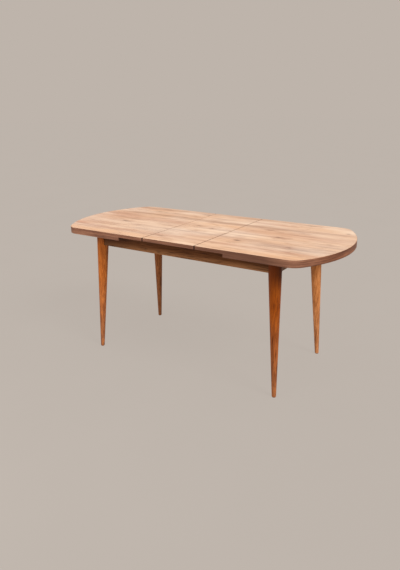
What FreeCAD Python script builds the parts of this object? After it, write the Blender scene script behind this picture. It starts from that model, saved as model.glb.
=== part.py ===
# Butterfly leaf dining table: two end tops on runners, and a leaf that folds and swings down between them.
# It stands on the floor at z = 0, centred on x = 0 and y = 0, with the long way of the table along x.
import FreeCAD
import Part
import math
import os

V = FreeCAD.Vector
X_AXIS = V(1, 0, 0)
Y_AXIS = V(0, 1, 0)
Z_AXIS = V(0, 0, 1)
ORIGIN = V(0, 0, 0)

# Overall sizes, in millimetres, with the leaf in place
table_length = 1650.0
table_width = 750.0
table_height = 750.0
leaf_length = 326.0
seam_gap = 1.0
board_thick = 18.0

# Outline of the round ends, and the small rounding where a seam meets the long edge
end_arc_radius = 588.0
corner_arc_radius = 83.0
seam_corner_radius = 6.0

# Built-up edge under the end tops, and the edging strip round all the boards
build_up_thick = 18.0
build_up_width = 40.0
plain_edge_length = 163.0
edging_thick = 2.0
edge_round = 1.5

# Legs: place under the closed top, taper and splay
end_overhang = 116.0
side_overhang = 117.0
leg_top_dia = 70.0
leg_foot_dia = 22.0
leg_splay_deg = 2.86
leg_flat_share = 0.63
leg_chamfer = 8.0
glide_radius = 9.0
glide_thick = 4.0
glide_stem_radius = 2.0
glide_stem_length = 14.0

# Apron rails and cross rails
frame_gap = 1.0
rail_height = 70.0
rail_thick = 18.0
rail_face_share = 0.57
cross_rail_gap = 14.0

# Corner blocks, with the bolts that hold the legs
corner_block_thick = 25.0
corner_block_height = 50.0
corner_block_gap = 3.0
corner_screw_length = 30.0
corner_screw_side_share = 0.75
corner_screw_spacing = 26.0
bolt_radius = 4.0
bolt_bite = 42.0
bolt_tail = 13.0
bolt_spacing = 27.0
nut_flats = 13.0
nut_height = 6.5
nut_flange_radius = 9.0
nut_flange_thick = 1.5

# Angle brackets between the cross rails and the long rails
angle_arm = 30.0
angle_thick = 2.5
angle_height = 46.0
angle_screw_length = 14.0
angle_screw_spacing = 26.0
angle_screw_share = 0.62

# Runners: a fixed channel on each side, and a slide bar under each end top
channel_width = 36.0
channel_height = 14.0
channel_wall = 2.5
channel_lip = 6.0
channel_gap = 10.0
channel_setback = 8.0
channel_screw_length = 22.0
slide_clearance = 0.4
bar_setback = 10.0
bar_end_gap = 25.0
bar_screw_bite = 11.0
bar_screw_shares = (0.06, 0.22, 0.38, 0.54)
stop_pin_radius = 3.0
stop_pin_height = 3.0
stop_pin_setback = 20.0
stop_groove_gap = 0.6
over_travel = 45.0

# Leaf fold: the wings turn on the arris where they meet, held by slotted links let into their seam ends
fold_clearance = 0.4
fold_arris = 0.1
hinge_pin_depth = 3.0
hinge_pin_radius = 1.2
hinge_eye_radius = 2.0
hinge_cover = 0.5
hinge_floor = 3.5
hinge_plate_length = 60.0
hinge_plate_thick = 4.0
hinge_plate_setback = 0.3
hinge_link_thick = 1.6
hinge_link_gap = 0.3
hinge_side_gap = 0.1
hinge_screw_length = 18.0
hinge_screw_shares = (0.35, 0.8)

# Leaf swing: parallel arms on two shafts that carry the rear wing level
stow_clearance = 2.0
shaft_radius = 6.0
shaft_height = 25.0
shaft_end_gap = 2.0
bush_wall = 2.0
bush_flange_radius = 11.0
bush_flange_thick = 2.0
arm_width = 16.0
arm_thick = 4.0
arm_top_gap = 1.0
arm_place_share = 0.8
front_pivot_share = 0.2
arm_channel_gap = 11.0
arm_hub_radius = 10.0
arm_hub_length = 14.0
pivot_pin_radius = 4.0
pivot_head_radius = 6.5
pivot_head_thick = 2.0
open_pivot_gap = 0.3
bracket_thick = 3.0
bracket_plate_thick = 2.5
bracket_plate_length = 44.0
bracket_plate_width = 24.0
bracket_screw_bite = 11.0
bracket_screw_share = 0.68
rest_pad_length = 40.0
rest_pad_width = 14.0
rest_pad_gap = 0.3
rest_pad_place_share = 0.37

# Fasteners and fits
screw_shank_radius = 2.0
screw_head_radius = 3.8
screw_head_height = 2.2
hinge_screw_shank_radius = 1.4
hinge_screw_head_radius = 2.5
hinge_screw_head_height = 1.8
recess_depth_share = 0.7
recess_width_share = 0.28
recess_length_share = 1.3
fit_clearance = 0.05
side_clearance = 0.3
overrun = 5.0

# Levels, from the top down
panel_under = table_height - board_thick
build_up_under = panel_under - build_up_thick
rail_top = build_up_under - frame_gap
rail_bottom = rail_top - rail_height
rail_middle = (rail_top + rail_bottom) / 2

# Plan of the top
half_length = table_length / 2
half_width = table_width / 2
half_leaf = leaf_length / 2
wing_end = half_leaf - seam_gap / 2
top_inner = half_leaf + seam_gap / 2
build_up_start = half_leaf + plain_edge_length
end_arc_x = half_length - end_arc_radius
corner_y = half_width - corner_arc_radius
corner_x = end_arc_x + math.sqrt((end_arc_radius - corner_arc_radius) ** 2 - corner_y ** 2)

# Plan of the frame
leg_x = half_length - half_leaf - end_overhang
leg_y = half_width - side_overhang
leg_lean = math.tan(math.radians(leg_splay_deg))
leg_top_radius = leg_top_dia / 2
leg_foot_radius = leg_foot_dia / 2
leg_flat = leg_top_radius * leg_flat_share
rail_out = leg_top_radius * rail_face_share
rail_in = rail_out - rail_thick
long_rail_outer = leg_y + rail_out
long_rail_inner = leg_y + rail_in
end_rail_outer = leg_x + rail_out
end_rail_inner = leg_x + rail_in
cross_inner = wing_end + cross_rail_gap
cross_outer = cross_inner + rail_thick

# Runner section and places
channel_outer = long_rail_inner - channel_gap
channel_inner = channel_outer - channel_width
channel_middle = (channel_outer + channel_inner) / 2
channel_top = rail_top + channel_height
channel_end = end_rail_outer - channel_setback
bar_under = rail_top + channel_wall + slide_clearance
bar_shoulder = channel_top - channel_wall - slide_clearance
bar_flange_half = channel_width / 2 - channel_wall - slide_clearance
bar_neck_half = channel_width / 2 - channel_wall - channel_lip - slide_clearance
build_up_inner_radius = end_arc_radius - build_up_width
bar_inner_end = top_inner + bar_setback
bar_outer_end = end_arc_x + math.sqrt(build_up_inner_radius ** 2 - channel_outer ** 2) - bar_end_gap
stop_pin_x = channel_end - stop_pin_setback

# Fold of the leaf: each pin is as far beside the fold's axis as below it, so a link turns half as far
fold_face = fold_clearance / 2
hinge_pin_y = hinge_pin_depth + fold_face
hinge_pin_z = table_height - hinge_pin_depth
link_rest_length = 2 * hinge_pin_y
link_full_length = link_rest_length * math.sqrt(2)
link_tail = link_full_length - link_rest_length + hinge_eye_radius
link_outer = wing_end - hinge_side_gap
link_inner = link_outer - hinge_link_thick
link_floor = link_inner - hinge_side_gap
hinge_plate_under = panel_under + hinge_floor
hinge_plate_start = fold_face + hinge_plate_setback

# Swing of the leaf: the folded pair ends centred, under the level of the end tops
stow_shift = half_width / 2
stow_drop = 2 * board_thick + fold_clearance + stow_clearance
pivot_z = panel_under - arm_width / 2 - arm_top_gap
shaft_z = rail_bottom + shaft_height
arm_rise = pivot_z - shaft_z
arm_rise_stowed = arm_rise - stow_drop
arm_reach = (stow_shift ** 2 + arm_rise_stowed ** 2 - arm_rise ** 2) / (2 * stow_shift)
arm_length = math.hypot(arm_reach, arm_rise)
arm_rest_deg = math.degrees(math.atan2(arm_rise, arm_reach))
front_pivot_y = half_width * front_pivot_share
rear_pivot_y = channel_inner - arm_channel_gap - arm_width / 2
front_shaft_y = front_pivot_y - arm_reach
rear_shaft_y = rear_pivot_y - arm_reach
arm_x = wing_end * arm_place_share
arm_outer = arm_x + arm_thick / 2
arm_inner = arm_x - arm_thick / 2
ear_inner = arm_outer + side_clearance
ear_outer = ear_inner + bracket_thick


def box(x0, x1, y0, y1, z0, z1):
    """A block between two corners."""
    return Part.makeBox(x1 - x0, y1 - y0, z1 - z0, V(x0, y0, z0))


def rod(start, direction, length, radius):
    """A round bar from a start point."""
    return Part.makeCylinder(radius, length, start, direction)


def arc(centre, radius, start_deg, end_deg):
    """An arc in plan about a centre, through its middle."""
    def at(angle_deg):
        angle = math.radians(angle_deg)
        return V(centre[0] + radius * math.cos(angle), centre[1] + radius * math.sin(angle), 0)
    return Part.Arc(at(start_deg), at((start_deg + end_deg) / 2), at(end_deg)).toShape()


def line(start, end):
    """A straight edge in plan."""
    return Part.LineSegment(V(start[0], start[1], 0), V(end[0], end[1], 0)).toShape()


def slab(edges, z0, z1):
    """A flat board: a closed outline in plan, from one level to another."""
    face = Part.Face(Part.Wire(edges))
    face.translate(V(0, 0, z0))
    return face.extrude(V(0, 0, z1 - z0))


def flipped(shape, side_x, side_y):
    """The same piece on another side of the table."""
    if side_x < 0:
        shape = shape.mirror(ORIGIN, X_AXIS)
    if side_y < 0:
        shape = shape.mirror(ORIGIN, Y_AXIS)
    return shape


def all_corners(shapes):
    """Copies of the pieces of one corner at the other three."""
    return [flipped(s, sx, sy) for sx in (1, -1) for sy in (1, -1) for s in shapes]


def both_ends(shapes):
    """Copies of the pieces of the right side on the left."""
    return [flipped(s, sx, 1) for sx in (1, -1) for s in shapes]


def placed(shape, point, direction):
    """A copy of a piece made along +z, set at a point and turned to a direction."""
    copy = shape.copy()
    copy.Placement = FreeCAD.Placement(point, FreeCAD.Rotation(Z_AXIS, direction))
    return copy


def edges_at(shape, z):
    """The edges of a shape that lie at one level."""
    return [e for e in shape.Edges if abs(e.BoundBox.ZMin - z) + abs(e.BoundBox.ZMax - z) < fit_clearance]


def screw(length, shank, head, head_height):
    """A screw along +z with a flush head at z = 0 and a cross recess in it."""
    body = rod(ORIGIN, Z_AXIS, head_height, head).fuse(rod(ORIGIN, Z_AXIS, length, shank))
    depth = head_height * recess_depth_share
    half = head * recess_width_share / 2
    reach = head * recess_length_share / 2
    cross = box(-half, half, -reach, reach, 0, depth).fuse(box(-reach, reach, -half, half, 0, depth))
    return body.cut(cross)


def screw_hole(length, shank, head, head_height):
    """The room that such a screw takes up, open towards its driver."""
    sunk = rod(V(0, 0, -overrun), Z_AXIS, overrun + head_height + fit_clearance, head + fit_clearance)
    return sunk.fuse(rod(ORIGIN, Z_AXIS, length + fit_clearance, shank + fit_clearance))


def wood_screw(length):
    """The screw used in the frame, and its hole."""
    sizes = (length, screw_shank_radius, screw_head_radius, screw_head_height)
    return screw(*sizes), screw_hole(*sizes)


def set_screws(length, seats):
    """Screws and their holes at a list of seats, each a point and a direction."""
    pattern, hole = wood_screw(length)
    return [placed(pattern, p, d) for p, d in seats], [placed(hole, p, d) for p, d in seats]


# End tops
def top_outline(inset):
    """The plan of the right end top, drawn in from its edge by an inset."""
    seam = top_inner + inset
    side = half_width - inset
    small = max(seam_corner_radius - inset, 0)
    end_deg = math.degrees(math.atan2(corner_y, corner_x - end_arc_x))
    corner = corner_arc_radius - inset
    edges = []
    if small > 0:
        edges.append(arc((seam + small, side - small), small, 180, 90))
    edges.append(line((seam + small, side), (corner_x, side)))
    edges.append(arc((corner_x, corner_y), corner, 90, end_deg))
    edges.append(arc((end_arc_x, 0), end_arc_radius - inset, end_deg, -end_deg))
    edges.append(arc((corner_x, -corner_y), corner, -end_deg, -90))
    edges.append(line((corner_x, -side), (seam + small, -side)))
    if small > 0:
        edges.append(arc((seam + small, small - side), small, 270, 180))
    edges.append(line((seam, small - side), (seam, side - small)))
    return edges


def top_edging():
    """The edging of the right end top: all round the panel, and down over the built-up edge."""
    upper = slab(top_outline(0), panel_under, table_height)
    upper = upper.makeFillet(edge_round, edges_at(upper, table_height))
    lower = slab(top_outline(0), build_up_under, panel_under)
    lower = lower.makeFillet(edge_round, edges_at(lower, build_up_under))
    lower = lower.common(box(build_up_start, table_length, -table_width, table_width, 0, table_height))
    whole = upper.fuse(lower).removeSplitter()
    return whole.cut(slab(top_outline(edging_thick), build_up_under - overrun, table_height + overrun))


def side_strip():
    """The straight built-up strip along the rear edge of the right end top."""
    return box(build_up_start, corner_x, half_width - build_up_width, half_width - edging_thick,
               build_up_under, panel_under)


def end_strip():
    """The bowed built-up strip round the end of the right end top."""
    outer = slab(top_outline(edging_thick), build_up_under, panel_under)
    inner = slab(top_outline(build_up_width), build_up_under - overrun, panel_under + overrun)
    end = box(corner_x, table_length, -table_width, table_width, 0, table_height)
    return outer.common(end).cut(inner)


def bar_screw_seats():
    """Seats of the screws that hold the rear slide bar of the right end top."""
    length = bar_outer_end - bar_inner_end
    return [(V(bar_inner_end + length * s, channel_middle, bar_under), Z_AXIS) for s in bar_screw_shares]


def bar_screws():
    """The screws of the right end top's rear slide bar, and their holes."""
    return set_screws(panel_under - bar_under + bar_screw_bite, bar_screw_seats())


def slide_bar():
    """The T bar under the rear side of the right end top, with the groove that its stop pin runs in."""
    flange = box(bar_inner_end, bar_outer_end, channel_middle - bar_flange_half,
                 channel_middle + bar_flange_half, bar_under, bar_shoulder)
    neck = box(bar_inner_end, bar_outer_end, channel_middle - bar_neck_half,
               channel_middle + bar_neck_half, bar_shoulder, panel_under)
    half = stop_pin_radius + stop_groove_gap
    groove = box(stop_pin_x - over_travel - half, bar_outer_end + overrun, channel_middle - half,
                 channel_middle + half, bar_under - overrun, bar_under + stop_pin_height)
    return flange.fuse(neck).removeSplitter().cut(groove).cut(Part.makeCompound(bar_screws()[1]))


def top_panel():
    """The right end panel, drilled for the screws of both slide bars."""
    panel = slab(top_outline(edging_thick), panel_under, table_height)
    holes = bar_screws()[1]
    return panel.cut(Part.makeCompound(holes + [flipped(h, 1, -1) for h in holes]))


# Leaf wings and their fold hinges
def wing_outline(inset):
    """The plan of the rear wing; its fold edge is never drawn in."""
    end = wing_end - inset
    side = half_width - inset
    small = seam_corner_radius - inset
    return [line((-end, fold_face), (end, fold_face)), line((end, fold_face), (end, side - small)),
            arc((end - small, side - small), small, 0, 90), line((end - small, side), (small - end, side)),
            arc((small - end, side - small), small, 90, 180), line((-end, side - small), (-end, fold_face))]


def fold_corner():
    """What a small rounding takes off the wing's upper fold edge."""
    y = fold_face + fold_arris
    z = table_height - fold_arris
    square = box(-table_length, table_length, fold_face - overrun, y, z, table_height + overrun)
    return square.cut(rod(V(-table_length, y, z), X_AXIS, 2 * table_length, fold_arris))


def hinge_plate_blank():
    """The outer shape of the hinge plate at the right end of the rear wing."""
    return box(wing_end - hinge_plate_thick, wing_end, hinge_plate_start,
               hinge_plate_start + hinge_plate_length, hinge_plate_under, table_height - hinge_cover)


def hinge_screws():
    """The two screws of one hinge plate, and their holes."""
    sizes = (hinge_screw_length, hinge_screw_shank_radius, hinge_screw_head_radius, hinge_screw_head_height)
    middle = (hinge_plate_under + table_height - hinge_cover) / 2
    places = [V(wing_end, hinge_plate_start + hinge_plate_length * s, middle) for s in hinge_screw_shares]
    screws = [placed(screw(*sizes), p, -X_AXIS) for p in places]
    holes = [placed(screw_hole(*sizes), p, -X_AXIS) for p in places]
    return screws, holes


def link_room():
    """The room for a link in the wing's end: up to the top where it comes to stand, and round its tail."""
    eye = hinge_eye_radius + hinge_link_gap
    tail = link_tail + hinge_link_gap
    near = fold_face - overrun
    far = wing_end + overrun
    upright = box(link_floor, far, near, hinge_pin_y + eye, hinge_pin_z - eye, table_height + overrun)
    lying = box(link_floor, far, near, hinge_pin_y + tail, hinge_pin_z - tail, hinge_pin_z + eye)
    return upright.fuse(lying)


def hinge_plate():
    """The hinge plate at the right end of the rear wing, with its pin, link room and screw holes."""
    plate = hinge_plate_blank().cut(Part.makeCompound([link_room()] + hinge_screws()[1]))
    pin = rod(V(link_floor, hinge_pin_y, hinge_pin_z), X_AXIS, link_outer - link_floor, hinge_pin_radius)
    return plate.fuse(pin).removeSplitter()


def link_bar(near, far, radius, extra):
    """A flat bar with round ends, between two distances from the rear pin, thicker by an extra."""
    x0 = link_inner - extra
    thick = hinge_link_thick + 2 * extra
    ends = (hinge_pin_y - far, hinge_pin_y - near)
    bar = box(x0, x0 + thick, *ends, hinge_pin_z - radius, hinge_pin_z + radius)
    rounds = [rod(V(x0, y, hinge_pin_z), X_AXIS, thick, radius) for y in ends]
    return bar.fuse(rounds).removeSplitter()


def hinge_link():
    """The link at the right end: a hole for the rear wing's pin and a slot for the front wing's."""
    bore = hinge_pin_radius + fit_clearance
    start = V(link_inner - overrun, hinge_pin_y, hinge_pin_z)
    hole = rod(start, X_AXIS, hinge_link_thick + 2 * overrun, bore)
    slot = link_bar(link_rest_length, link_full_length, bore, overrun)
    return link_bar(0, link_full_length, hinge_eye_radius, 0).cut(hole).cut(slot)


def hinge_cuts():
    """All that the two hinges of the rear wing take out of its board and edging."""
    cuts = [hinge_plate_blank(), link_room()] + hinge_screws()[1]
    return both_ends(cuts) + [fold_corner()]


def wing_board(holes):
    """The board of the rear wing, cut for its hinges and for further holes."""
    board = slab(wing_outline(edging_thick), panel_under, table_height)
    return board.cut(Part.makeCompound(hinge_cuts() + holes))


def wing_edging():
    """The edging of the rear wing, along its seam ends and its long edge."""
    outer = slab(wing_outline(0), panel_under, table_height)
    round_edges = [e for e in edges_at(outer, table_height) if e.BoundBox.YMax > fold_face + fit_clearance]
    outer = outer.makeFillet(edge_round, round_edges)
    inner = slab(wing_outline(edging_thick), panel_under - overrun, table_height + overrun)
    return outer.cut(inner).cut(Part.makeCompound(hinge_cuts()))


# Swing arms under the rear wing
def swing_arm(shaft_y, pivot_gap):
    """The right arm of one shaft: a flat bar with a hub at the shaft and an eye at the leaf."""
    bar = box(-arm_thick / 2, arm_thick / 2, 0, arm_length, -arm_width / 2, arm_width / 2)
    eye = rod(V(-arm_thick / 2, arm_length, 0), X_AXIS, arm_thick, arm_width / 2)
    hub = rod(V(-arm_hub_length / 2, 0, 0), X_AXIS, arm_hub_length, arm_hub_radius)
    arm = bar.fuse([eye, hub]).removeSplitter()
    shaft_start = V(-arm_hub_length, 0, 0)
    pin_start = V(-arm_hub_length, arm_length, 0)
    shaft_bore = rod(shaft_start, X_AXIS, 2 * arm_hub_length, shaft_radius + fit_clearance)
    pin_bore = rod(pin_start, X_AXIS, 2 * arm_hub_length, pivot_pin_radius + pivot_gap)
    arm = arm.cut(Part.makeCompound([shaft_bore, pin_bore]))
    arm.rotate(ORIGIN, X_AXIS, arm_rest_deg)
    arm.translate(V(arm_x, shaft_y, shaft_z))
    return arm


def pivot_shaft(y):
    """A round shaft between the two cross rails."""
    half = cross_outer - shaft_end_gap
    return rod(V(-half, y, shaft_z), X_AXIS, 2 * half, shaft_radius)


def shaft_bush(y):
    """The flanged bush of one shaft in the right cross rail."""
    inner = shaft_radius + fit_clearance
    face = V(cross_inner, y, shaft_z)
    sleeve = rod(face, X_AXIS, rail_thick, inner + bush_wall)
    flange = rod(face, -X_AXIS, bush_flange_thick, bush_flange_radius)
    bore = rod(face - X_AXIS * overrun, X_AXIS, rail_thick + 2 * overrun, inner)
    return sleeve.fuse(flange).cut(bore)


def bush_hole(y):
    """The hole for such a bush."""
    outer = shaft_radius + bush_wall + 2 * fit_clearance
    return rod(V(cross_inner - overrun, y, shaft_z), X_AXIS, rail_thick + 2 * overrun, outer)


def bracket_screws(y):
    """The screws that hold one arm bracket to the rear wing, and their holes."""
    x = (ear_outer + ear_inner + bracket_plate_width) / 2
    step = bracket_plate_length * bracket_screw_share / 2
    seats = [(V(x, y + s, panel_under - bracket_plate_thick), Z_AXIS) for s in (-step, step)]
    return set_screws(bracket_plate_thick + bracket_screw_bite, seats)


def arm_bracket(y):
    """The right bracket of one arm: a plate under the rear wing with an ear beside the arm."""
    half = bracket_plate_length / 2
    plate = box(ear_inner, ear_inner + bracket_plate_width, y - half, y + half,
                panel_under - bracket_plate_thick, panel_under)
    ear = box(ear_inner, ear_outer, y - arm_width / 2, y + arm_width / 2, pivot_z, panel_under)
    tip = rod(V(ear_inner, y, pivot_z), X_AXIS, bracket_thick, arm_width / 2)
    hole = rod(V(ear_inner - overrun, y, pivot_z), X_AXIS, bracket_thick + 2 * overrun,
               pivot_pin_radius + fit_clearance)
    return plate.fuse([ear, tip]).removeSplitter().cut(Part.makeCompound([hole] + bracket_screws(y)[1]))


def pivot_pin(y):
    """The headed pin of one arm, riveted over outside the ear."""
    x0 = arm_inner - side_clearance
    shank = rod(V(x0, y, pivot_z), X_AXIS, ear_outer - x0, pivot_pin_radius)
    head = rod(V(x0 - pivot_head_thick, y, pivot_z), X_AXIS, pivot_head_thick, pivot_head_radius)
    rivet = rod(V(ear_outer, y, pivot_z), X_AXIS, pivot_head_thick, pivot_head_radius)
    return shank.fuse([head, rivet]).removeSplitter()


# Legs and their corner blocks
def along_corner(inward, sideways, z):
    """A point of the right rear corner: distance in from the leg's axis, and across that diagonal."""
    unit = math.sqrt(2)
    return V(leg_x + (sideways - inward) / unit, leg_y - (sideways + inward) / unit, z)


def to_corner():
    """The diagonal direction from the table's middle to the right rear leg."""
    return V(1, 1, 0).normalize()


leg_corner_in = leg_flat * math.sqrt(2) - leg_chamfer
block_outer_in = leg_corner_in + corner_block_gap
block_inner_in = block_outer_in + corner_block_thick
bolt_levels = (rail_middle - bolt_spacing / 2, rail_middle + bolt_spacing / 2)
bolt_reach = block_inner_in + bolt_tail


def leg_bolts(gap):
    """The hanger bolts of the right rear leg, or their holes when there is a gap round them."""
    length = bolt_tail + block_inner_in - leg_corner_in + bolt_bite + gap
    starts = [along_corner(bolt_reach, 0, z) for z in bolt_levels]
    return [rod(start, to_corner(), length, bolt_radius + gap) for start in starts]


def leg_nuts():
    """Flanged nuts on those bolts, seated on the corner block."""
    corner_radius = nut_flats / math.sqrt(3)
    points = [V(corner_radius * math.cos(i * math.pi / 3), corner_radius * math.sin(i * math.pi / 3), 0)
              for i in range(6)]
    hexagon = Part.Face(Part.makePolygon(points + points[:1])).extrude(V(0, 0, nut_height))
    flange = rod(ORIGIN, Z_AXIS, nut_flange_thick, nut_flange_radius)
    bore = rod(V(0, 0, -overrun), Z_AXIS, nut_height + 2 * overrun, bolt_radius + fit_clearance)
    nut = hexagon.fuse(flange).removeSplitter().cut(bore)
    return [placed(nut, along_corner(block_inner_in, 0, z), -to_corner()) for z in bolt_levels]


def glide():
    """The foot glide of the right rear leg, with its stem."""
    foot = V(leg_x + leg_lean * rail_top, leg_y + leg_lean * rail_top, 0)
    disc = rod(foot, Z_AXIS, glide_thick, glide_radius)
    stem = rod(foot, Z_AXIS, glide_thick + glide_stem_length, glide_stem_radius)
    return disc.fuse(stem).removeSplitter()


def leg():
    """The right rear leg: a leaning cone with flats for the rails, cut level at both ends."""
    taper = (leg_top_radius - leg_foot_radius) / rail_top
    low, high = -overrun, rail_top + overrun
    lean = V(-leg_lean, -leg_lean, 1)
    foot = V(leg_x + leg_lean * rail_top, leg_y + leg_lean * rail_top, 0)
    length = (high - low) * lean.Length
    cone = Part.makeCone(leg_foot_radius + taper * low, leg_foot_radius + taper * high, length,
                         foot + lean * low, lean)
    cone = cone.common(box(0, table_length, 0, table_width, glide_thick, rail_top))
    flat_x = box(0, leg_x - leg_flat, 0, table_width, rail_bottom, table_height)
    flat_y = box(0, table_length, 0, leg_y - leg_flat, rail_bottom, table_height)
    corners = [along_corner(d, s, rail_bottom) for d, s in (
        (leg_corner_in, leg_top_dia), (leg_corner_in, -leg_top_dia),
        (leg_top_dia, -leg_top_dia), (leg_top_dia, leg_top_dia))]
    chamfer = Part.Face(Part.makePolygon(corners + corners[:1])).extrude(V(0, 0, table_height))
    stem_top = glide_thick + glide_stem_length + fit_clearance
    stem = rod(foot, Z_AXIS, stem_top, glide_stem_radius + fit_clearance)
    shaped = cone.cut(flat_x).cut(flat_y).cut(chamfer)
    return shaped.cut(Part.makeCompound(leg_bolts(fit_clearance) + [stem]))


def corner_screw_seats():
    """Seats of the screws from the right rear corner block into the two rails."""
    side = (block_inner_in + rail_in * math.sqrt(2)) * corner_screw_side_share
    levels = (rail_middle - corner_screw_spacing / 2, rail_middle + corner_screw_spacing / 2)
    return [(along_corner(block_inner_in, s, z), to_corner()) for s in (-side, side) for z in levels]


def angle_screw_seats():
    """Seats of the screws of the right rear angle bracket: into the cross rail, and into the long rail."""
    reach = angle_arm * angle_screw_share
    levels = (rail_middle - angle_screw_spacing / 2, rail_middle + angle_screw_spacing / 2)
    to_cross = [(V(cross_outer + angle_thick, long_rail_inner - reach, z), -X_AXIS) for z in levels]
    to_long = [(V(cross_outer + reach, long_rail_inner - angle_thick, z), Y_AXIS) for z in levels]
    return to_cross + to_long


def channel_screw_seats():
    """Seats of the screws that hold the rear channel down on the right end rail and cross rail."""
    level = rail_top + channel_wall
    places = (cross_inner + rail_thick / 2, end_rail_inner + rail_thick / 2)
    return [(V(x, channel_middle, level), -Z_AXIS) for x in places]


corner_screws, corner_holes = set_screws(corner_screw_length, corner_screw_seats())
angle_screws, angle_holes = set_screws(angle_screw_length, angle_screw_seats())
channel_screws, channel_holes = set_screws(channel_screw_length, channel_screw_seats())
frame_holes = Part.makeCompound(all_corners(corner_holes + angle_holes + channel_holes))


def corner_block():
    """The right rear corner block, between the two rails."""
    diagonal = math.sqrt(2)
    points = []
    for inward in (block_outer_in, block_inner_in):
        points.append(V(leg_x + rail_in, leg_y - inward * diagonal - rail_in, 0))
        points.append(V(leg_x - inward * diagonal - rail_in, leg_y + rail_in, 0))
    outline = [points[0], points[1], points[3], points[2], points[0]]
    face = Part.Face(Part.makePolygon(outline))
    face.translate(V(0, 0, rail_middle - corner_block_height / 2))
    block = face.extrude(V(0, 0, corner_block_height))
    return block.cut(Part.makeCompound(leg_bolts(fit_clearance) + corner_holes))


# Rails, runners and small frame pieces
def long_rail():
    """The rear apron rail, between the legs' flats."""
    half = leg_x - leg_flat
    return box(-half, half, long_rail_inner, long_rail_outer, rail_bottom, rail_top).cut(frame_holes)


def end_rail():
    """The right apron rail, between the legs' flats."""
    half = leg_y - leg_flat
    return box(end_rail_inner, end_rail_outer, -half, half, rail_bottom, rail_top).cut(frame_holes)


def cross_rail():
    """The right cross rail, which carries the shafts and the middle of the runners."""
    rail = box(cross_inner, cross_outer, -long_rail_inner, long_rail_inner, rail_bottom, rail_top)
    return rail.cut(frame_holes).cut(Part.makeCompound([bush_hole(front_shaft_y), bush_hole(rear_shaft_y)]))


def angle_bracket():
    """The angle bracket in the right rear corner outside the cross rail."""
    z0 = rail_middle - angle_height / 2
    z1 = rail_middle + angle_height / 2
    on_cross = box(cross_outer, cross_outer + angle_thick,
                   long_rail_inner - angle_arm, long_rail_inner, z0, z1)
    on_long = box(cross_outer, cross_outer + angle_arm,
                  long_rail_inner - angle_thick, long_rail_inner, z0, z1)
    return on_cross.fuse(on_long).removeSplitter().cut(Part.makeCompound(angle_holes))


def stop_pin(gap):
    """The travel stop of the right slide bar in the rear channel, or its hole when there is a gap."""
    height = channel_wall + stop_pin_height - slide_clearance
    return rod(V(stop_pin_x, channel_middle, rail_top), Z_AXIS, height, stop_pin_radius + gap)


def runner_channel():
    """The rear channel, open upwards between its two lips."""
    whole = box(-channel_end, channel_end, channel_inner, channel_outer, rail_top, channel_top)
    room = box(-table_length, table_length, channel_inner + channel_wall, channel_outer - channel_wall,
               rail_top + channel_wall, channel_top - channel_wall)
    lip = channel_wall + channel_lip
    slot = box(-table_length, table_length, channel_inner + lip, channel_outer - lip,
               rail_top + channel_wall, table_height)
    pins = both_ends([stop_pin(fit_clearance)])
    return whole.cut(room).cut(slot).cut(Part.makeCompound(both_ends(channel_holes) + pins))


def rest_pad():
    """A pad on the rear rail that the leaf rests on."""
    x = wing_end * rest_pad_place_share
    y = (long_rail_inner + long_rail_outer) / 2
    half_long = rest_pad_length / 2
    half_wide = rest_pad_width / 2
    return box(x - half_long, x + half_long, y - half_wide, y + half_wide,
               rail_top, panel_under - rest_pad_gap)


# Every node of the table, under its own name
nodes = {}
sides = (("left", -1), ("right", 1))
depths = (("front", -1), ("rear", 1))

for side, sx in sides:
    nodes[side + "_top_panel"] = flipped(top_panel(), sx, 1)
    nodes[side + "_top_edging"] = flipped(top_edging(), sx, 1)
    nodes[side + "_end_strip"] = flipped(end_strip(), sx, 1)
    nodes[side + "_end_rail"] = flipped(end_rail(), sx, 1)
    nodes[side + "_cross_rail"] = flipped(cross_rail(), sx, 1)
    rear_screws = bar_screws()[0]
    screws = rear_screws + [flipped(s, 1, -1) for s in rear_screws]
    nodes[side + "_bar_screws"] = Part.makeCompound([flipped(s, sx, 1) for s in screws])
    for depth, sy in depths:
        corner = depth + "_" + side
        nodes[corner + "_side_strip"] = flipped(side_strip(), sx, sy)
        nodes[corner + "_slide_bar"] = flipped(slide_bar(), sx, sy)
        nodes[corner + "_leg"] = flipped(leg(), sx, sy)
        nodes[corner + "_glide"] = flipped(glide(), sx, sy)
        nodes[corner + "_corner_block"] = flipped(corner_block(), sx, sy)

pivots = (front_pivot_y, rear_pivot_y)
wing_screws = []
wing_holes = []
for pivot_y in pivots:
    screws, holes = bracket_screws(pivot_y)
    wing_screws += both_ends(screws)
    wing_holes += both_ends(holes)
wing_hinge_screws = both_ends(hinge_screws()[0])

nodes["front_wing"] = flipped(wing_board([]), 1, -1)
nodes["rear_wing"] = wing_board(wing_holes)
nodes["front_wing_screws"] = Part.makeCompound([flipped(s, 1, -1) for s in wing_hinge_screws])
nodes["rear_wing_screws"] = Part.makeCompound(wing_hinge_screws + wing_screws)
nodes["hinge_links"] = Part.makeCompound(both_ends([hinge_link()]))
for depth, sy in depths:
    nodes[depth + "_wing_edging"] = flipped(wing_edging(), 1, sy)
    plates = [flipped(p, 1, sy) for p in both_ends([hinge_plate()])]
    nodes[depth + "_hinge_plates"] = Part.makeCompound(plates)
    nodes[depth + "_rail"] = flipped(long_rail(), 1, sy)
    nodes[depth + "_runner_channel"] = flipped(runner_channel(), 1, sy)

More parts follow.
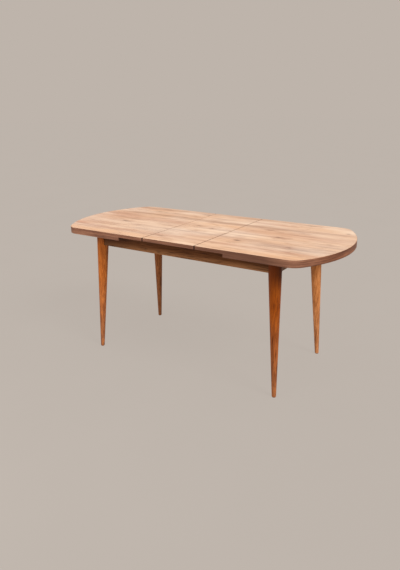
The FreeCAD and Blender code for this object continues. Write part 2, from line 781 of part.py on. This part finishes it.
nodes["front_pivot_shaft"] = pivot_shaft(front_shaft_y)
nodes["rear_pivot_shaft"] = pivot_shaft(rear_shaft_y)
nodes["front_swing_arms"] = Part.makeCompound(both_ends([swing_arm(front_shaft_y, fit_clearance)]))
nodes["rear_swing_arms"] = Part.makeCompound(both_ends([swing_arm(rear_shaft_y, open_pivot_gap)]))
nodes["shaft_bushes"] = Part.makeCompound(both_ends([shaft_bush(front_shaft_y), shaft_bush(rear_shaft_y)]))
nodes["arm_brackets"] = Part.makeCompound(both_ends([arm_bracket(y) for y in pivots]))
nodes["arm_pivot_pins"] = Part.makeCompound(both_ends([pivot_pin(y) for y in pivots]))

nodes["leg_bolts"] = Part.makeCompound(all_corners(leg_bolts(0)))
nodes["leg_nuts"] = Part.makeCompound(all_corners(leg_nuts()))
nodes["corner_screws"] = Part.makeCompound(all_corners(corner_screws))
nodes["angle_brackets"] = Part.makeCompound(all_corners([angle_bracket()]))
nodes["angle_screws"] = Part.makeCompound(all_corners(angle_screws))
nodes["channel_screws"] = Part.makeCompound(all_corners(channel_screws))
nodes["runner_stop_pins"] = Part.makeCompound(all_corners([stop_pin(0)]))
nodes["leaf_rest_pads"] = Part.makeCompound(all_corners([rest_pad()]))

os.makedirs("parts", exist_ok=True)
for name, shape in nodes.items():
    shape.exportStep(os.path.join("parts", name + ".step"))
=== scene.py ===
import math

import bpy
from mathutils import Matrix, Vector


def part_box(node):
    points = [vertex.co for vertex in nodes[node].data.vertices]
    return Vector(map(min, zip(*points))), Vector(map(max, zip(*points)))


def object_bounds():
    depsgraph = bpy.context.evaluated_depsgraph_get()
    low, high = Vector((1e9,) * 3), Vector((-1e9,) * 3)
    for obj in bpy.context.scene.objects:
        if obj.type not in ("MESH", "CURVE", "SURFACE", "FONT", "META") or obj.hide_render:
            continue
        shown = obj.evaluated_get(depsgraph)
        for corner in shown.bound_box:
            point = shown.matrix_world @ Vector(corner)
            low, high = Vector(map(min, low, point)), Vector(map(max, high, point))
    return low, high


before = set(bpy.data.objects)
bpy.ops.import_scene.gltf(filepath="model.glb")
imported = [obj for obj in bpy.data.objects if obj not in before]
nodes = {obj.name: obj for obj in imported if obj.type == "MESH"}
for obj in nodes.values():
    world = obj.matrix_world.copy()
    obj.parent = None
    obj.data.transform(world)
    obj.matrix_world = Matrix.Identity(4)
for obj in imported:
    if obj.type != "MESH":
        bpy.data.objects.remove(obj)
cad_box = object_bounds()
scene = bpy.context.scene

# Places that the patterns take from the solids, in metres
half_length = cad_box[1].x
half_width = cad_box[1].y
leg_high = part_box("front_left_leg")[1].z
rail_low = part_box("front_rail")[0].z
rail_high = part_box("front_rail")[1].z
seam_place = (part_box("front_wing_edging")[1].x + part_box("right_top_edging")[0].x) / 2


def linear(red, green, blue):
    """A colour given as 0-255 screen values, as the linear colour that shaders use."""
    def one(value):
        value /= 255
        return value / 12.92 if value <= 0.04045 else ((value + 0.055) / 1.055) ** 2.4
    return (one(red), one(green), one(blue), 1.0)


def times(colour, factors):
    """A colour with each of its three values times a factor."""
    return tuple(value * factor for value, factor in zip(colour, factors))


# Axes that grain can run along: the table's length, its width and its height
LENGTH, WIDTH, HEIGHT = range(3)


def grain(axis, along, across):
    """How often a pattern repeats in a metre on each axis, where it runs along one of them."""
    return tuple(along if index == axis else across for index in range(3))


class Shader:
    """A material under construction: short names for the nodes that its pattern is made of.

    A value is a number or the output of another node. A colour is 0-255 screen values or such an output.
    """

    def __init__(self, name):
        self.material = bpy.data.materials.new(name)
        self.material.use_nodes = True
        self.tree = self.material.node_tree
        self.tree.nodes.clear()
        out = self.new("OutputMaterial")
        self.surface = self.new("BsdfPrincipled")
        self.put(out.inputs["Surface"], self.surface.outputs["BSDF"])
        coordinates = self.new("TexCoord")
        self.place = coordinates.outputs["Object"]
        self.normal = coordinates.outputs["Normal"]

    def new(self, kind):
        return self.tree.nodes.new("ShaderNode" + kind)

    def put(self, socket, value):
        """Links a value that is a node's output, or else sets it on the socket."""
        if isinstance(value, bpy.types.NodeSocket):
            self.tree.links.new(value, socket)
        else:
            socket.default_value = value

    def fill(self, node, *values):
        """Puts values on a node's first sockets."""
        for socket, value in zip(node.inputs, values):
            self.put(socket, value)

    def set(self, **values):
        """Puts values on sockets of the surface shader."""
        for key, value in values.items():
            self.put(self.surface.inputs[key.replace("_", " ").title().replace("Ior", "IOR")], value)

    def math(self, operation, *values, clamp=False):
        node = self.new("Math")
        node.operation = operation
        node.use_clamp = clamp
        self.fill(node, *values)
        return node.outputs[0]

    def product(self, first, *others):
        for other in others:
            first = self.math("MULTIPLY", first, other)
        return first

    def weighted(self, *terms, plus=0.0):
        """The sum of values, each times its weight."""
        total = plus
        for value, weight in terms:
            total = self.math("MULTIPLY_ADD", value, weight, total)
        return total

    def moved(self, vector, scale, shift=(0, 0, 0)):
        """The vector times a scale, plus a shift."""
        node = self.new("VectorMath")
        node.operation = "MULTIPLY_ADD"
        self.fill(node, vector, scale, shift)
        return node.outputs[0]

    def length_squared(self, vector):
        node = self.new("VectorMath")
        node.operation = "DOT_PRODUCT"
        self.fill(node, vector, vector)
        return node.outputs["Value"]

    def split(self, vector):
        node = self.new("SeparateXYZ")
        self.fill(node, vector)
        return node.outputs[0], node.outputs[1], node.outputs[2]

    def join(self, x, y, z=0.0):
        node = self.new("CombineXYZ")
        self.fill(node, x, y, z)
        return node.outputs[0]

    def noise(self, vector, repeats, detail, rough=0.5, distortion=0.0, shift=(0, 0, 0)):
        """Soft random values that change as often in a metre as repeats says for each axis."""
        node = self.new("TexNoise")
        self.put(node.inputs["Vector"], self.moved(vector, repeats, shift))
        self.put(node.inputs["Scale"], 1.0)
        self.put(node.inputs["Detail"], detail)
        self.put(node.inputs["Roughness"], rough)
        self.put(node.inputs["Distortion"], distortion)
        return node.outputs["Fac"]

    def chance(self, vector):
        """One random value for each whole-numbered cell."""
        node = self.new("TexWhiteNoise")
        node.noise_dimensions = "3D"
        self.put(node.inputs["Vector"], vector)
        return node.outputs["Value"]

    def cells(self, vector, repeats):
        """Random cells: the distance from a cell's middle, and a colour for each cell."""
        node = self.new("TexVoronoi")
        self.put(node.inputs["Vector"], self.moved(vector, repeats))
        self.put(node.inputs["Scale"], 1.0)
        return node.outputs["Distance"], node.outputs["Color"]

    def ramp(self, value, *stops):
        """Colours by value, each stop a value and its colour."""
        node = self.new("ValToRGB")
        self.put(node.inputs[0], value)
        elements = node.color_ramp.elements
        while len(elements) < len(stops):
            elements.new(0.5)
        for element, (position, colour) in zip(elements, stops):
            element.position = position
            element.color = linear(*colour)
        return node.outputs["Color"]

    def span(self, value, low, high, to_low=0.0, to_high=1.0):
        """The value's range carried over to another, held at its ends."""
        node = self.new("MapRange")
        self.fill(node, value, low, high, to_low, to_high)
        return node.outputs["Result"]

    def mix(self, share, *colours, blend="MIX"):
        """The first colour, with a share of the second."""
        node = self.new("Mix")
        node.data_type = "RGBA"
        node.blend_type = blend
        self.put(node.inputs["Factor"], share)
        sockets = [socket for socket in node.inputs if socket.type == "RGBA"]
        for socket, colour in zip(sockets, colours):
            self.put(socket, linear(*colour) if isinstance(colour, tuple) else colour)
        return next(socket for socket in node.outputs if socket.type == "RGBA")

    def bump(self, height, strength, depth):
        """A relief whose depth is in metres."""
        node = self.new("Bump")
        self.put(node.inputs["Height"], height)
        self.put(node.inputs["Strength"], strength)
        self.put(node.inputs["Distance"], depth)
        self.put(self.surface.inputs["Normal"], node.outputs["Normal"])


# Boards of the oak print: where the first joint lies across the table, and their width, in metres
FIRST_JOINT = -0.4005
BOARD_WIDTH = 0.0937

# The grain's stray across in metres, its growth lines, and how far apart boards lie in the noise
GRAIN_STRAY = 0.022
GROWTH_LINES = 95.0
BOARD_SHIFT = 7.31
BOARD_DEPTH = 9.0

# Knots in the print: place, half length and half width in metres, depth of colour
KNOTS = [
    (-0.520, 0.257, 0.050, 0.020, 0.60), (-0.470, 0.250, 0.030, 0.014, 0.50),
    (-0.527, -0.077, 0.046, 0.018, 0.85), (-0.067, 0.030, 0.030, 0.014, 0.85),
    (0.037, 0.000, 0.018, 0.013, 1.10), (0.292, -0.170, 0.030, 0.018, 1.15),
    (0.450, -0.007, 0.034, 0.016, 0.90), (0.578, -0.180, 0.018, 0.014, 1.10),
    (0.730, 0.237, 0.018, 0.012, 0.80), (-0.187, 0.310, 0.050, 0.018, 0.75),
    (0.490, 0.330, 0.055, 0.016, 0.80), (-0.113, -0.277, 0.030, 0.010, 0.65),
    (-0.020, -0.105, 0.032, 0.012, 0.50), (0.720, -0.020, 0.026, 0.012, 0.60),
    (-0.640, 0.020, 0.040, 0.014, 0.45), (0.330, 0.120, 0.040, 0.014, 0.45),
]

# How far noise moves a knot's outline on each axis, in metres
KNOT_STRAY = (0.050, 0.026, 0.0)

# How fast a knot's ring and heart fade, how much it bends the grain, and the browns of both
RING_FADE = 0.40
HEART_FADE = 3.4
GRAIN_BEND = 0.80
KNOT_HEART = (86, 66, 55)
KNOT_RING = (164, 120, 97)

# Tones that some of the boards lean to
ASH = (162, 132, 115)
ROSE = (180, 140, 121)
CREAM = (214, 179, 148)
RUSSET = (184, 126, 96)
SILVER = (176, 150, 134)

# Those boards: middle and half width across, from and to along, in metres, then strength and tone
BANDS = [
    (0.166, 0.024, -0.72, 0.46, 0.80, ASH), (0.050, 0.050, -0.76, -0.16, 0.45, ROSE),
    (0.050, 0.055, 0.17, 0.80, 0.40, ROSE), (0.092, 0.030, -0.17, 0.17, 0.45, CREAM),
    (-0.262, 0.018, -0.62, 0.80, 0.40, ROSE), (-0.235, 0.030, -0.90, -0.68, 0.65, RUSSET),
    (-0.340, 0.036, -0.90, 0.90, 0.55, CREAM), (0.345, 0.040, -0.90, 0.40, 0.55, SILVER),
    (-0.180, 0.022, -0.10, 0.16, 0.35, ROSE), (0.262, 0.020, 0.17, 0.42, 0.55, ROSE),
    (-0.020, 0.420, -0.99, -0.56, 0.30, ROSE),
]

# How far such a board's outline strays across, and how far its two ends fade, in metres
BAND_STRAY = 0.03
BAND_START = 0.08
BAND_END = 0.06

# Browns that show on the joints of the boards and on the seams, and a near-black painted shade in the
# notches at the seams' ends
JOINT_BROWN = (140, 104, 82)
SEAM_BROWN = (112, 78, 60)
SEAM_EDGE_BROWN = (76, 50, 39)
SEAM_END_SHADE = (34, 21, 16)

# Distances in metres up to which a seam's brown is full and past which there is none: from the seam on the
# print and on the edging; and for the painted shade at the seams' ends, from those ends
PRINT_SEAM = (0.0012, 0.0022)
EDGING_SEAM = (0.0026, 0.0044)
SEAM_END = (0.004, 0.017)

# From where to where that brown fades to the back, in metres across the table
RIGHT_SEAM_FADE = (-0.30, 0.0)
LEFT_SEAM_FADE = (-0.30, 0.02)


def near_seam(look, full, clear):
    """1 up to one distance from where a top meets the leaf, and 0 past another."""
    x = look.split(look.place)[0]
    distance = look.math("ABSOLUTE", look.math("SUBTRACT", look.math("ABSOLUTE", x), seam_place))
    return look.span(distance, full, clear, 1.0, 0.0)


def seam_share(look):
    """How much brown shows along a seam: less to the back, where the left one has none."""
    x, y = look.split(look.place)[:2]
    right = look.product(look.span(x, -0.01, 0.01), look.span(y, *RIGHT_SEAM_FADE, 1.0, 0.40))
    return look.math("MAXIMUM", right, look.span(y, *LEFT_SEAM_FADE, 0.95, 0.0))


def round_knots(look, y):
    """The place across, bent round the knots, and how strong the knots' hearts and rings are."""
    ragged = look.noise(look.place, (38, 95, 1), 3.0, 0.6)
    shake = look.noise(look.place, (52, 60, 1), 2.0, 0.6, shift=(5.5, 2.5, 0))
    stray = look.moved(look.join(ragged, shake), KNOT_STRAY, times(KNOT_STRAY, (-0.5, -0.5, 0)))
    knot_place = look.moved(look.place, (1, 1, 0), stray)
    bent, heart, ring = y, 0.0, 0.0
    for knot_x, knot_y, half_long, half_wide, depth in KNOTS:
        middle = (-knot_x / half_long, -knot_y / half_wide, 0)
        far = look.length_squared(look.moved(knot_place, (1 / half_long, 1 / half_wide, 0), middle))
        wide = look.math("EXPONENT", look.product(far, -RING_FADE))
        core = look.math("EXPONENT", look.product(far, -HEART_FADE))
        push = look.product(look.math("SUBTRACT", y, knot_y), wide)
        bent = look.math("MULTIPLY_ADD", push, -GRAIN_BEND, bent)
        heart = look.math("MULTIPLY_ADD", core, depth, heart)
        ring = look.math("MULTIPLY_ADD", wide, depth, ring)
    return bent, heart, ring


def lean_to_tones(look, colour, waver, streak):
    """The print's colour with the boards that lean to a tone of their own."""
    x, y = look.split(look.place)[:2]
    across = look.math("MULTIPLY_ADD", waver, BAND_STRAY, y)
    for middle, half, first, last, strength, tone in BANDS:
        off_middle = look.math("SUBTRACT", across, middle + BAND_STRAY / 2)
        offset = look.math("DIVIDE", off_middle, half)
        share = look.product(
            look.math("EXPONENT", look.product(offset, offset, -1.0)),
            look.span(x, first - BAND_START, first + BAND_START),
            look.span(x, last - BAND_END, last + BAND_END, 1.0, 0.0),
            look.span(streak, 0.25, 0.65, strength * 1.3, strength * 0.7))
        colour = look.mix(share, colour, tone)
    return colour


def oak_print(name):
    """Matt laminate with the print of oak boards along the table, banded sides and a plain backing."""
    look = Shader(name)
    x, y = look.split(look.place)[:2]
    row_place = look.math("DIVIDE", look.math("SUBTRACT", y, FIRST_JOINT), BOARD_WIDTH)
    row = look.math("FLOOR", row_place)
    start = look.chance(look.join(row, 3.7))

    # Grain that wavers, and starts anew on each board
    bent, heart, ring = round_knots(look, y)
    waver = look.noise(look.place, (2.2, 9.0, 0), 3.0)
    bent = look.math("MULTIPLY_ADD", waver, GRAIN_STRAY, bent)
    shifted = look.math("MULTIPLY_ADD", row, BOARD_SHIFT, x)
    place = look.join(shifted, bent, look.product(start, BOARD_DEPTH))
    fine = look.noise(place, (7.0, 330, 1), 5.0, 0.65, 0.3)
    streak = look.noise(place, (4.2, 74, 1), 5.0, 0.60, 0.4, (3.1, 0, 0))
    broad = look.noise(place, (1.2, 17, 1), 3.0, 0.5, 0.3, (9.7, 4.2, 0))
    growth = look.noise(place, (0.75, 8.0, 1), 1.0, 0.4, shift=(2.7, 1.2, 0))
    lines = look.math("MULTIPLY_ADD", look.math("SINE", look.product(growth, GROWTH_LINES)), 0.5, 0.5)
    tone = look.noise(look.join(x, row), (1.3, 5.3, 0), 1.0)
    level = look.weighted(
        (streak, 0.52), (broad, 0.66), (fine, 0.34), (lines, 0.10), (tone, 0.30), plus=-0.44)
    colour = look.ramp(
        level, (0.24, (156, 132, 119)), (0.38, (187, 162, 146)), (0.51, (207, 183, 164)),
        (0.63, (216, 194, 174)), (0.82, (224, 204, 183)))

    # Boards of other tones, greyer smudges, warmer patches, and the knots
    colour = lean_to_tones(look, colour, waver, streak)
    smudge = look.noise(look.place, (9.0, 36, 1), 4.0, 0.6, 0.6, (1.9, 3.3, 0))
    colour = look.mix(look.span(smudge, 0.52, 0.74, 0.0, 0.70), colour, (166, 134, 117))
    hue = look.noise(look.place, (2.6, 7.0, 1), 2.0, shift=(7.7, 1.1, 0))
    colour = look.mix(look.span(hue, 0.33, 0.67, 0.0, 0.42), colour, (232, 186, 134), blend="MULTIPLY")
    colour = look.mix(look.math("MULTIPLY", ring, 0.30, clamp=True), colour, KNOT_RING)
    heart = look.product(heart, look.span(streak, 0.30, 0.65, 1.05, 0.55))
    colour = look.mix(look.math("MULTIPLY", heart, 0.85, clamp=True), colour, KNOT_HEART)

    # Thin joints between the printed boards, and the brown banding that shows at the seams
    part = look.math("FRACT", row_place)
    edge = look.math("MINIMUM", part, look.math("SUBTRACT", 1.0, part))
    colour = look.mix(look.span(edge, 0.0, 0.014, 0.16, 0.0), colour, JOINT_BROWN)
    seam = look.product(near_seam(look, *PRINT_SEAM), seam_share(look))
    colour = look.mix(seam, colour, SEAM_BROWN)

    # Banding on the upright faces, backing on the underside
    up = look.split(look.normal)[2]
    layers = look.noise(look.place, (5, 5, 260), 4.0, 0.6)
    banding = look.ramp(layers, (0.3, (92, 60, 44)), (0.7, (132, 92, 70)))
    colour = look.mix(look.span(up, 0.35, 0.65, 1.0, 0.0), colour, banding)
    mottle = look.noise(look.place, (90, 90, 90), 3.0, 0.6)
    backing = look.ramp(mottle, (0.3, (170, 146, 120)), (0.7, (190, 168, 142)))
    colour = look.mix(look.span(up, -0.65, -0.35, 1.0, 0.0), colour, backing)
    look.set(base_color=colour, specular_ior_level=0.22)
    look.set(roughness=look.span(fine, 0.25, 0.75, 0.48, 0.62))
    look.bump(look.math("MULTIPLY_ADD", heart, -0.2, fine), 0.15, 0.0004)
    return look.material


# Stretches along the edging in which painted shade changes its tone, in metres from the middle of the
# table
PAINTED_SIDE_SHADE = (-0.45, 0.50)
SIDE_SHADE_CORNER = (half_length - 0.285, half_length - 0.145)
END_SHADE_STRETCH = (half_length - 0.375, half_length - 0.025)

# Tones of the edging: the painted shade that warms and darkens its right end, the painted shade of its
# darker side, and its top arris
END_SHADE_FACTOR = (226, 200, 174)
SIDE_SHADE_BROWN = (80, 52, 40)
ARRIS = (200, 164, 136)


def edge_print(name):
    """Wood-print edging with its grain along the edge."""
    look = Shader(name)
    streak = look.noise(look.place, (4.5, 4.5, 150), 5.0, 0.6, 0.3)
    fine = look.noise(look.place, (26, 26, 620), 4.0, 0.6)
    broad = look.noise(look.place, (5, 5, 30), 2.0, shift=(4, 2, 1))
    level = look.weighted((streak, 0.5), (broad, 0.3), (fine, 0.35))
    colour = look.ramp(
        level, (0.40, (72, 47, 38)), (0.53, (109, 73, 57)), (0.61, (128, 89, 70)), (0.74, (158, 115, 92)))

    # Painted shade that warms and darkens the faces turned to the right end, painted shade that darkens
    # the sides to the right as far as their corners, and paler on the top arris
    x, y = look.split(look.place)[:2]
    along, _, up = look.split(look.normal)
    end_on = look.math("POWER", look.math("ABSOLUTE", along), 4.0)
    end_shade = look.product(look.span(x, *END_SHADE_STRETCH), end_on)
    colour = look.mix(end_shade, colour, END_SHADE_FACTOR, blend="MULTIPLY")
    side_shade = look.product(look.span(x, *PAINTED_SIDE_SHADE, 0.0, 0.78), look.span(x, *SIDE_SHADE_CORNER, 1.0, 0.0))
    colour = look.mix(side_shade, colour, SIDE_SHADE_BROWN)
    level_face = look.span(up, 0.55, 0.90)
    colour = look.mix(look.product(level_face, 0.7), colour, ARRIS)

    # Brown along the seams, and near-black painted shade in the notches at their ends
    seam = near_seam(look, *EDGING_SEAM)
    colour = look.mix(look.product(seam, level_face, seam_share(look)), colour, SEAM_EDGE_BROWN)
    from_end = look.math("SUBTRACT", half_width, look.math("ABSOLUTE", y))
    end = look.span(from_end, *SEAM_END, 1.0, 0.0)
    colour = look.mix(look.product(seam, end), colour, SEAM_END_SHADE)
    look.set(base_color=colour, specular_ior_level=0.25)
    look.set(roughness=look.span(fine, 0.3, 0.7, 0.42, 0.56))
    look.bump(fine, 0.15, 0.0003)
    return look.material


# The grain of lacquered wood, as factors of its middle colour
DARK_GRAIN = (0.56, 0.46, 0.40)
LIGHT_GRAIN = (1.18, 1.28, 1.55)

# The stretch in which painted shade makes a rail darker to the left, in metres from the middle of the
# table
PAINTED_SHADE_LEFT = (-0.50, -0.25)


def lacquered(name, axis, middle, gloss, low, low_share, low_colour, high, painted_shade_share, end=0.0):
    """Stained and lacquered solid wood with its grain along one axis.

    Between two low heights a share of another colour fades out, and between two high ones painted shade
    darkens it. End is how much painted shade darkens it to the left.
    """
    look = Shader(name)
    dark = times(middle, DARK_GRAIN)
    flame = look.noise(look.place, grain(axis, 7.0, 100.0), 3.0, 0.55, 1.3)
    fine = look.noise(look.place, grain(axis, 11.0, 330.0), 4.0, 0.65)
    cloud = look.noise(look.place, (9, 9, 9), 2.0, shift=(2, 5, 1))
    x, _, height = look.split(look.place)
    # Another colour that fades out upwards: the feet's own colour on the legs, and painted light along the
    # lower part of the rails
    share = look.product(look.span(height, *low, low_share, 0.0), look.span(cloud, 0.2, 0.6, 0.75, 1.1))
    colour = look.mix(share, middle, low_colour)
    level = look.weighted((flame, 0.58), (fine, 0.22), (cloud, 0.20))
    colour = look.mix(look.span(level, 0.36, 0.51, 0.90, 0.0), colour, dark)
    colour = look.mix(look.span(level, 0.50, 0.64, 0.0, 0.75), colour, times(middle, LIGHT_GRAIN))
    colour = look.mix(look.span(fine, 0.26, 0.42, 0.60, 0.0), colour, dark, blend="MULTIPLY")
    # Painted shade of the top's overhang, darker up to the head
    colour = look.mix(look.span(height, *high, 0.0, painted_shade_share), colour, dark)
    # Painted shade, darker towards the rail's left end
    if end:
        colour = look.mix(look.span(x, *PAINTED_SHADE_LEFT, end, 0.0), colour, dark)
    look.set(base_color=colour, specular_ior_level=0.1, coat_weight=gloss, coat_roughness=0.14)
    look.set(roughness=look.span(fine, 0.3, 0.7, 0.32, 0.48))
    look.bump(fine, 0.16, 0.0003)
    return look.material


def raw_wood(name, axis, dark, light):
    """Planed wood without a finish, with its grain along one axis."""
    look = Shader(name)
    streak = look.noise(look.place, grain(axis, 2.4, 70.0), 5.0, 0.55, 1.1)
    fine = look.noise(look.place, grain(axis, 16.0, 420.0), 3.0, 0.6)
    level = look.weighted((streak, 0.8), (fine, 0.25))
    look.set(base_color=look.ramp(level, (0.35, dark), (0.72, light)), specular_ior_level=0.3)
    look.set(roughness=look.span(fine, 0.3, 0.7, 0.55, 0.75))
    look.bump(fine, 0.25, 0.0004)
    return look.material


def core_board(name):
    """Pressed chip board, as the built-up strips show it from below, with banding on the ends."""
    look = Shader(name)
    distance, chips = look.cells(look.place, (260, 260, 420))
    dust = look.noise(look.place, (900, 900, 900), 3.0, 0.6)
    hue = look.split(chips)[0]
    colour = look.ramp(hue, (0.0, (150, 112, 78)), (0.5, (182, 146, 106)), (1.0, (206, 174, 132)))
    colour = look.mix(look.span(dust, 0.35, 0.65, 0.0, 0.35), colour, (170, 138, 104), blend="MULTIPLY")
    level = look.math("ABSOLUTE", look.split(look.normal)[2])
    colour = look.mix(look.span(level, 0.35, 0.65, 1.0, 0.0), colour, (88, 58, 44))
    look.set(base_color=colour, specular_ior_level=0.25)
    look.set(roughness=look.span(dust, 0.3, 0.7, 0.66, 0.84))
    look.bump(look.math("ADD", dust, distance), 0.3, 0.0004)
    return look.material


def metal(name, lines_along, dark, light, roughness):
    """Bare or plated metal with fine lines and uneven shine."""
    look = Shader(name)
    lines = look.noise(look.place, lines_along, 3.0, 0.6)
    patch = look.noise(look.place, (60, 60, 60), 3.0, 0.6)
    level = look.weighted((lines, 0.5), (patch, 0.5))
    look.set(base_color=look.ramp(level, (0.3, dark), (0.7, light)), metallic=1.0)
    look.set(roughness=look.span(patch, 0.3, 0.7, roughness - 0.07, roughness + 0.09))
    look.bump(lines, 0.12, 0.0002)
    return look.material


def moulded(name, dark, light, roughness):
    """Moulded plastic or rubber with a fine texture."""
    look = Shader(name)
    grit = look.noise(look.place, (1600, 1600, 1600), 2.0, 0.6)
    patch = look.noise(look.place, (120, 120, 120), 3.0)
    look.set(base_color=look.ramp(patch, (0.3, dark), (0.7, light)), specular_ior_level=0.4)
    look.set(roughness=look.span(grit, 0.3, 0.7, roughness - 0.08, roughness + 0.08))
    look.bump(grit, 0.2, 0.0002)
    return look.material


# Gloss of the lacquer, and the paler brown that is painted light along the rails' lower part
LEG_GLOSS = 0.06
RAIL_GLOSS = 0.03
PAINTED_LIGHT_BROWN = (150, 106, 72)

# Heights between which a colour changes, in metres: the legs' feet, painted shade at the heads of legs and
# rails, and painted light along the rails' lower part
foot = (0.04, 0.46)
head = (leg_high - 0.253, leg_high - 0.013)
short_head = (leg_high - 0.073, leg_high - 0.013)
long_head = (leg_high - 0.333, leg_high - 0.113)
painted_light_heights = (rail_low + 0.002, rail_low + 0.031)
rail_shade_heights = (rail_low + 0.017, rail_high - 0.013)


def leg_wood(name, middle, foot_share, foot_colour, heights, head_shade_share):
    """The wood of a leg, whose foot has another colour and whose head is darkened by painted shade."""
    return lacquered(name, HEIGHT, middle, LEG_GLOSS, foot, foot_share, foot_colour, heights, head_shade_share)


def rail_wood(name, axis, middle, painted_light_share, head_shade_share, end=0.0):
    """The wood of a rail, with painted light along its lower part and painted shade at its head."""
    return lacquered(
        name, axis, middle, RAIL_GLOSS, painted_light_heights, painted_light_share, PAINTED_LIGHT_BROWN, rail_shade_heights, head_shade_share, end)


# Finishes by the end of a node's name. Other nodes are plated fittings
top_laminate = oak_print("oak_print_laminate")
chip_board = core_board("chip_board")
# The rails' middle browns, here and for the end rails, are darker than their lacquer's own colour: painted
# shade is in them
long_rail_wood = rail_wood("brown_lacquer_long", LENGTH, (85, 49, 23), 0.75, 0.5, 0.6)
pine = raw_wood("planed_pine", WIDTH, (176, 132, 84), (222, 184, 134))
brass = metal("satin_brass", grain(WIDTH, 14.0, 900.0), (168, 128, 62), (206, 168, 96), 0.34)
zinc = metal("zinc_plated_steel", (900, 900, 900), (150, 152, 156), (190, 191, 193), 0.38)
finishes = {
    "_top_panel": top_laminate,
    "_wing": top_laminate,
    "_edging": edge_print("oak_print_edging"),
    "_side_strip": chip_board,
    "_end_strip": chip_board,
    # The four legs have one honey lacquer; these are lit and shaded copies of it, with each leg's light
    # and shade painted into its colour and head
    "front_left_leg": leg_wood(
        "honey_lacquer_lit_copy", (163, 91, 36), 0.90, (128, 84, 60), short_head, 0.95),
    "front_right_leg": leg_wood(
        "honey_lacquer_shaded_red_copy", (139, 68, 12), 0.80, (146, 96, 64), head, 1.0),
    "rear_left_leg": leg_wood(
        "honey_lacquer_shaded_brown_copy", (132, 78, 40), 0.45, (128, 84, 60), head, 0.15),
    "rear_right_leg": leg_wood(
        "honey_lacquer_lit_yellow_copy", (182, 116, 62), 0.80, (146, 95, 65), long_head, 0.50),
    "front_rail": long_rail_wood,
    "rear_rail": long_rail_wood,
    "_end_rail": rail_wood("brown_lacquer_end", WIDTH, (86, 50, 24), 0.60, 0.4),
    "_cross_rail": pine,
    "_corner_block": pine,
    "_slide_bar": raw_wood("waxed_beech", LENGTH, (186, 138, 98), (218, 176, 134)),
    "_runner_channel": metal(
        "drawn_aluminium", grain(LENGTH, 14.0, 900.0), (176, 178, 182), (206, 208, 210), 0.36),
    "_hinge_plates": brass,
    "hinge_links": brass,
    "_glide": moulded("brown_nylon", (98, 64, 42), (118, 80, 54), 0.50),
    "shaft_bushes": moulded("moulded_nylon", (36, 33, 30), (52, 48, 44), 0.50),
    "leaf_rest_pads": moulded("moulded_rubber", (28, 27, 26), (42, 40, 38), 0.68),
}


def finish_of(name):
    """The material of a node, from what its name says it is."""
    for ending, material in finishes.items():
        if name.endswith(ending):
            return material
    return zinc


for name, piece in nodes.items():
    piece.data.materials.clear()
    piece.data.materials.append(finish_of(name))


# Studio: a wide pale floor that runs into an even background, and soft lights
PALE = (190, 180, 171)
FLOOR_REACH = 60.0
FLOOR_CORNERS = 64


def studio_floor():
    """A wide round sheet of pale paper that glows a little, so that shadows on it stay faint."""
    turns = [math.tau * corner / FLOOR_CORNERS for corner in range(FLOOR_CORNERS)]
    rim = [(FLOOR_REACH * math.cos(turn), FLOOR_REACH * math.sin(turn), 0.0) for turn in turns]
    mesh = bpy.data.meshes.new("studio_floor")
    mesh.from_pydata(rim, [], [tuple(range(FLOOR_CORNERS))])
    floor = bpy.data.objects.new("studio_floor", mesh)
    scene.collection.objects.link(floor)
    look = Shader("pale_paper")
    soft = look.noise(look.place, (2, 2, 2), 3.0)
    look.set(base_color=look.ramp(soft, (0.3, (45, 44, 43)), (0.7, (48, 47, 46))), roughness=0.9)
    look.set(specular_ior_level=0.0, emission_color=linear(*PALE), emission_strength=0.917)
    mesh.materials.append(look.material)


def shine(name, kind, place, target, strength, spread, colour):
    """A soft light, turned from a place to a target.

    A sun is far and even, and its spread is in degrees. An area is a near box, with its size in metres.
    """
    data = bpy.data.lights.new(name, kind)
    data.energy = strength
    data.color = colour
    if kind == "SUN":
        data.angle = math.radians(spread)
    else:
        data.size = spread
    light = bpy.data.objects.new(name, data)
    light.location = place
    light.rotation_euler = (Vector(target) - Vector(place)).to_track_quat("-Z", "Y").to_euler()
    light.visible_camera = False
    light.visible_glossy = kind == "SUN"
    scene.collection.objects.link(light)


studio_floor()
shine("overhead", "SUN", (-0.2, -0.2, 4.0), (0, 0, 0), 0.76, 60.0, (1.0, 0.99, 0.98))
shine("right_side", "SUN", (3.06, -0.75, 2.46), (0, 0, 0), 3.35, 26.0, (1.0, 0.97, 0.92))
shine("left_side", "SUN", (-2.4, -2.6, 1.5), (0, 0, 0), 0.25, 22.0, (1.0, 0.95, 0.88))
shine("front_box", "AREA", (-0.20, -2.30, 1.00), (-0.5, -0.3, 0.5), 25.0, 0.6, (1.0, 0.94, 0.86))

world = bpy.data.worlds.new("studio")
scene.world = world
world.use_nodes = True
background = world.node_tree.nodes["Background"]
background.inputs["Color"].default_value = linear(*PALE)
background.inputs["Strength"].default_value = 1.0
scene.view_settings.view_transform = "Standard"

# Camera as in the photograph: place in metres, direction and a slight tilt to one side in radians
camera_place = (1.5615, -2.4616, 1.3979)
yaw, pitch, roll = 0.5793, 0.3265, -0.0120
ahead = Vector((-math.sin(yaw) * math.cos(pitch), math.cos(yaw) * math.cos(pitch), -math.sin(pitch)))
level_right = Vector((math.cos(yaw), math.sin(yaw), 0.0))
level_up = level_right.cross(ahead)
right = level_right * math.cos(roll) + level_up * math.sin(roll)
up = level_up * math.cos(roll) - level_right * math.sin(roll)
turned = Matrix((right, up, -ahead)).transposed().to_4x4()
lens = bpy.data.cameras.new("camera")
lens.lens = 33.386
lens.sensor_width = 36.0
camera = bpy.data.objects.new("camera", lens)
camera.matrix_world = Matrix.Translation(camera_place) @ turned
scene.collection.objects.link(camera)
scene.camera = camera
